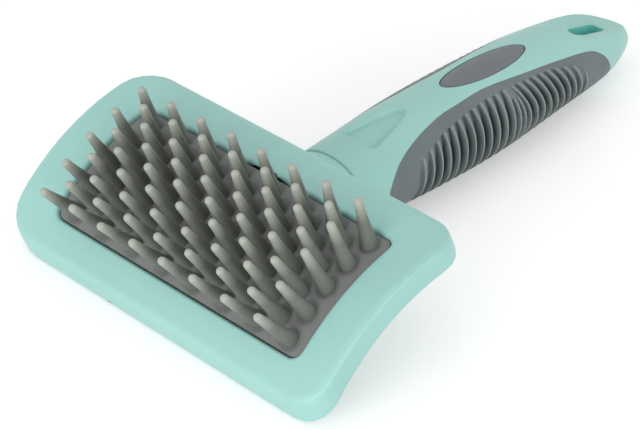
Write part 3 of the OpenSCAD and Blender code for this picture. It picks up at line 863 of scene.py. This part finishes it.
def loose(name, points, faces):
    """A mesh object that only serves to cut or be cut."""
    mesh = bpy.data.meshes.new(name)
    faces = [tuple(int(k) for k in f) for f in faces]
    mesh.from_pydata([tuple(p) for p in np.asarray(points, float)], [], faces)
    shape = bmesh.new()
    shape.from_mesh(mesh)
    bmesh.ops.recalc_face_normals(shape, faces=shape.faces)
    shape.to_mesh(mesh)
    shape.free()
    thing = bpy.data.objects.new(name, mesh)
    bpy.context.scene.collection.objects.link(thing)
    return thing


def prism(name, low, high):
    """A solid between two loops of as many points."""
    n = len(low)
    faces = grid_faces(2, n, wrap=True) + [tuple(range(n)), tuple(range(n, 2 * n))]
    return loose(name, from_handle(np.concatenate([low, high])), faces)


def upright(outline, low, high):
    """An outline at two heights."""
    return [np.column_stack([outline, np.full(len(outline), w)]) for w in (low, high)]


def shell_rings():
    """Rings of the outer skin from the rounded mouth to the tail."""
    a = np.linspace(0, 2 * math.pi, SKIN_SIDES, endpoint=False)
    mouth = [(0.0, 1.2), (0.0, 0.45), (0.0004, 0.22), (0.0013, 0.07), (0.0028, 0.0)]
    rings = [skin(p, a, sunk) for p, sunk in mouth]
    body = np.arange(0.3, HANDLE_L - 1.2, 0.3) / HANDLE_L
    body = np.concatenate([body[body > 0.004], 1 - np.geomspace(1.15, 0.004, 14) / HANDLE_L])
    rings += [skin(p, a) for p in body]
    rings = np.array(rings)
    x, y, w = np.moveaxis(rings, -1, 0)
    upper = np.sin(a)[None, :] > 0
    recess = THUMB_D * (1 - ease(outside(x, y, THUMB_DISCS), -0.55, 0.1))
    rim = 0.3 * np.exp(-(np.maximum(outside(x, y, slot_discs(), 48), 0) / 0.4) ** 2)
    rings[..., 2] = np.where(upper, scooped(x, y, w) - recess - rim, w)
    return rings


def trench(side):
    """The bed of the grip on one side, as a solid that reaches out of the skin."""
    share, low, high = grip_span()
    low = np.where(low < -math.pi / 2 + 0.01, low - 0.06, low)
    columns = 60
    a = low[:, None] + (high - low)[:, None] * np.linspace(0, 1, columns)[None, :]
    rows = len(share)
    sheets = [skin(share[:, None], a, sunk).reshape(-1, 3) for sunk in (-2.0, GRIP_DEPTH)]
    points = np.concatenate(sheets)
    points[:, 0] *= side
    count = rows * columns
    faces = grid_faces(rows, columns)
    faces += [tuple(count + k for k in f[::-1]) for f in faces]
    loop = sheet_rim(rows, columns)
    faces += [(b, c, count + c, count + b) for c, b in zip(loop, np.roll(loop, -1))]
    return loose("trench", from_handle(points), faces)


def cut(body, cutters):
    """The body without its cutters, as a mesh."""
    for cutter in cutters:
        step = body.modifiers.new("cut", "BOOLEAN")
        step.operation = "DIFFERENCE"
        step.solver = "MANIFOLD"
        step.object = cutter
    bpy.context.view_layer.update()
    mesh = bpy.data.meshes.new_from_object(body.evaluated_get(bpy.context.evaluated_depsgraph_get()))
    for thing in [body] + cutters:
        bpy.data.objects.remove(thing)
    return mesh


def deepen_slot(mesh):
    """Marks the walls of the hang slot for painted bounce light: a deeper, brighter green than the rest,
    strongest low in the slot, that stands in for light going to and fro between the walls.
    """
    at = turned_x(mesh_arrays(mesh)[0] / MM - PAD_APEX, LIE)
    wall = outside(at[:, 0], at[:, 1], slot_discs()) < 0.02
    middle = at[wall][:, 2].mean()
    deep = np.zeros(len(mesh.loops))
    for face in mesh.polygons:
        corners = list(face.vertices)
        if wall[corners].all() and abs(face.normal.z) < 0.7:
            deep[list(face.loop_indices)] = np.where(at[corners, 2] > middle, 0.6, 0.9)
    mesh.attributes.new("deep", "FLOAT", "CORNER").data.foreach_set("value", deep)


def make_shell():
    """The handle's shell, with its trenches, badge seat, tenon bore and slot cut out of the skin."""
    rings = shell_rings()
    rows, columns = rings.shape[:2]
    points = list(rings.reshape(-1, 3)) + [rings[0].mean(0), rings[-1].mean(0)]
    faces = grid_faces(rows, columns, wrap=True)
    for row, pole in ((0, rows * columns), (rows - 1, rows * columns + 1)):
        faces += [(row * columns + j, row * columns + (j + 1) % columns, pole) for j in range(columns)]
    body = loose("body", from_handle(points), faces)
    turns = np.linspace(0, 2 * math.pi, SEAT_SIDES, endpoint=False)
    oval = np.column_stack([(BADGE_W / 2 + SEAM) * np.cos(turns),
                            BADGE_MID + (BADGE_L / 2 + SEAM) * np.sin(turns)])
    half_w, middle, half_h = section((oval[:, 1] - NECK_REACH) / HANDLE_L)
    top = middle + half_h * (1 - np.abs(oval[:, 0] / half_w) ** SQUARENESS) ** (1 / SQUARENESS)
    seat = [np.column_stack([oval, top - BADGE_DEPTH]), np.column_stack([oval, top + 3])]
    bore = hull_outline([(i * (TENON_W / 2 - TENON_R), j * (TENON_H / 2 - TENON_R), TENON_R + FIT)
                         for i in (-1, 1) for j in (-1, 1)])
    bore = [np.column_stack([bore[:, 0], np.full(len(bore), y), bore[:, 1] + float(section(0.0)[1])])
            for y in (NECK_REACH - 2, NECK_REACH + TENON_L + FIT)]
    mesh = cut(body, [trench(1), trench(-1), prism("seat", *seat), prism("bore", *bore),
                      prism("slot", *upright(hull_outline(slot_discs()), -30, 30))])
    piece = add_piece("handle_shell", mesh, "mint_plastic", "handle_body")
    mesh.set_sharp_from_angle(angle=math.radians(32))
    # Painted bounce light on the slot's walls, as a deeper green.
    deepen_slot(mesh)
    return piece


handle_body = make_shell()


# ---- Badge: a bare plate, crowned a little, in its seat on the spine ----
GAP = 0.12   # between the badge and the wall of its seat


def make_badge():
    """A plate that follows the spine, its edge rounded down into the seat."""
    rings, turns = 16, 96
    a = np.linspace(0, 2 * math.pi, turns, endpoint=False)
    points, faces = [], []
    for k in range(rings + 3):
        r = min((k + 1) / rings, 1.0) if k < rings else 1.0
        x, u = (BADGE_W / 2 - GAP) * r * np.cos(a), BADGE_MID + (BADGE_L / 2 - GAP) * r * np.sin(a)
        half_w, middle, half_h = section((u - NECK_REACH) / HANDLE_L)
        w = middle + half_h * (1 - np.abs(x / half_w) ** SQUARENESS) ** (1 / SQUARENESS)
        edge = 0.04 + 0.14 * max(0.0, (r - 0.94) / 0.06) ** 2
        drop = edge if k < rings else edge + (0.05, 0.5, 1.1)[k - rings]
        points += list(from_handle(np.stack([x, u, w - drop], 1)))
    faces = grid_faces(rings + 3, turns, wrap=True, flip=True)
    faces.append(tuple(range(turns)))
    return new_piece("bare_badge", points, faces, "badge_plastic", "badge")


badge = make_badge()


# ---- Studio ----
LAMP_AIM, LAMP_SIZE = (0, -0.03, 0.01), (0.6, 0.5)
WORLD_LIGHT = 0.75   # the world's level on the object
FLOOR_GLOW = 0.36    # what lifts the floor to white for the camera
FLOOR_HALF = 3.0


def area_lamp(name, place, power_w):
    data = bpy.data.lights.new(name, "AREA")
    data.shape = "RECTANGLE"
    data.size, data.size_y = LAMP_SIZE
    data.energy = power_w
    lamp = bpy.data.objects.new(name, data)
    lamp.location = place
    lamp.rotation_euler = (Vector(LAMP_AIM) - Vector(place)).to_track_quat("-Z", "Y").to_euler()
    bpy.context.scene.collection.objects.link(lamp)


def seen_rays(tree):
    """1 for the rays of the camera, of reflections and of transmission, which see the studio as white."""
    paths = tree.nodes.new("ShaderNodeLightPath")
    total = paths.outputs["Is Camera Ray"]
    for name in ("Is Glossy Ray", "Is Transmission Ray"):
        either = tree.nodes.new("ShaderNodeMath")
        either.operation = "MAXIMUM"
        tree.links.new(total, either.inputs[0])
        tree.links.new(paths.outputs[name], either.inputs[1])
        total = either.outputs[0]
    return total


def make_world():
    """White for what the camera and reflections see, and a plainer level of light on the object."""
    world = bpy.data.worlds.new("studio")
    bpy.context.scene.world = world
    world.use_nodes = True
    tree = world.node_tree
    light = tree.nodes["Background"]
    seen = tree.nodes.new("ShaderNodeBackground")
    light.inputs["Strength"].default_value = WORLD_LIGHT
    for background in (light, seen):
        background.inputs["Color"].default_value = (1, 1, 1, 1)
    mix = tree.nodes.new("ShaderNodeMixShader")
    tree.links.new(seen_rays(tree), mix.inputs["Fac"])
    tree.links.new(light.outputs[0], mix.inputs[1])
    tree.links.new(seen.outputs[0], mix.inputs[2])
    tree.links.new(mix.outputs[0], tree.nodes["World Output"].inputs["Surface"])


def make_floor():
    """A plain pale floor, just under the object, that keeps its shadow."""
    mesh = bpy.data.meshes.new("floor")
    r = FLOOR_HALF
    mesh.from_pydata([(-r, -r, 0), (r, -r, 0), (r, r, 0), (-r, r, 0)], [], [(0, 1, 2, 3)])
    floor = bpy.data.objects.new("floor", mesh)
    bpy.context.scene.collection.objects.link(floor)
    floor.location.z = -0.0002
    paint = Paint("floor", 0.9, 0.0)
    paint.colour(paint.ramp(paint.noise(3.0), [(0.3, (0.80,)), (0.7, (0.82,))]))
    glow = paint.tree.nodes.new("ShaderNodeMath")
    glow.operation = "MULTIPLY"
    glow.inputs[1].default_value = FLOOR_GLOW
    paint.link(seen_rays(paint.tree), glow.inputs[0])
    paint.shader.inputs["Emission Color"].default_value = (1, 1, 1, 1)
    paint.link(glow.outputs[0], paint.shader.inputs["Emission Strength"])
    mesh.materials.append(paint.material)


make_world()
make_floor()
area_lamp("front", (0.10, -0.98, 0.16), 5.0)
area_lamp("right", (0.95, -0.15, 0.22), 2.8)
area_lamp("back", (-0.2, 0.9, 0.8), 0.4)
bpy.context.scene.view_settings.view_transform = "Standard"


# ---- Gate mark: a small dark scar on the near side of the head, read as the mould's ----
MARK_HALF_L, MARK_HALF_W, MARK_SIDES = 0.8, 0.22, 20


def make_dark_mark():
    """A low dark oval, along the head's long side, where its image point meets the head."""
    hit, normal = place(POINTS["dark_mark"], carrier_of([head_frame]))
    side = Vector((1, 0, 0)) - normal * normal.x
    side.normalize()
    up = normal.cross(side)
    rings = [(1.0, -0.08), (0.94, 0.04), (0.72, 0.07), (0.45, 0.04), (0.2, 0.03)]
    turns = np.linspace(0, 2 * math.pi, MARK_SIDES, endpoint=False)
    points = [hit + side * (MARK_HALF_L * MM * r * math.cos(a)) + up * (MARK_HALF_W * MM * r * math.sin(a))
              + normal * (h * MM) for r, h in rings for a in turns]
    faces = grid_faces(len(rings), MARK_SIDES, wrap=True)
    faces.append(tuple(range((len(rings) - 1) * MARK_SIDES, len(rings) * MARK_SIDES)))
    faces.append(tuple(range(MARK_SIDES))[::-1])
    return new_piece("dark_mark", points, faces, "grip_rubber", "head_frame")


dark_mark = make_dark_mark()


# ---- Where the image points show ----
def finished(thing):
    """The thing's finished points in the row frame."""
    shape = thing.evaluated_get(bpy.context.evaluated_depsgraph_get()).to_mesh()
    turn, shift = np.array(thing.matrix_world.to_3x3()), np.array(thing.matrix_world.translation)
    return mesh_arrays(shape)[0] @ turn.T + shift


def slot_shows():
    """The middle of the pixels through which the slot is seen."""
    tree = carrier_of([handle_body])
    seen = []
    for x in np.arange(POINTS["slot"][0] - 30, POINTS["slot"][0] + 30, 1.0):
        for y in np.arange(POINTS["slot"][1] - 20, POINTS["slot"][1] + 20, 1.0):
            hit = turned_x(np.array(place((x, y), tree)[0]) / MM - PAD_APEX, LIE)
            if outside(hit[0], hit[1], slot_discs()) < 0.05 and hit[2] < scooped(hit[0], hit[1], 99.0) - 0.6:
                seen.append((x, y))
    seen = np.array(seen)
    return (seen.min(0) + seen.max(0)) / 2 if len(seen) else np.array(POINTS["slot"]) + 99


def shows(points, carrier):
    """The points of a piece that the carrier doesn't hide."""
    eye = Vector(CAMERA_AT)
    kept = []
    for point in points:
        way = Vector(point) - eye
        if carrier.ray_cast(eye, way.normalized(), way.length - 0.2 * MM)[0] is None:
            kept.append(point)
    return np.array(kept)


def write_points():
    """Works out where each thing shows in the image, by the names of the image points; the result is not
    kept.
    """
    outer = (head_frame, head_back, pin_field, pins, handle_body, grip)
    shown = np.concatenate([project(finished(o)) for o in outer])
    plate, mark = (project(finished(o)) for o in (badge, dark_mark))
    field = project(shows(finished(pin_field), carrier_of([head_frame])))
    found = {
        "left": shown[:, 0].min(), "right": shown[:, 0].max(),
        "top": shown[:, 1].min(), "bottom": shown[:, 1].max(),
        "window_left": field[field[:, 0].argmin()], "window_right": field[field[:, 0].argmax()],
        "window_low": field[field[:, 1].argmax()],
        "tip_far_left": project([pin_tips[1, 1]])[0], "tip_far_right": project([pin_tips[1, 8]])[0],
        "tip_near_left": project([pin_tips[9, 1]])[0], "tip_near_right": project([pin_tips[9, 8]])[0],
        "badge_head_end": plate[plate[:, 0].argmin()], "badge_tail_end": plate[plate[:, 0].argmax()],
        "slot": slot_shows(), "dark_mark": mark.mean(0),
    }


write_points()
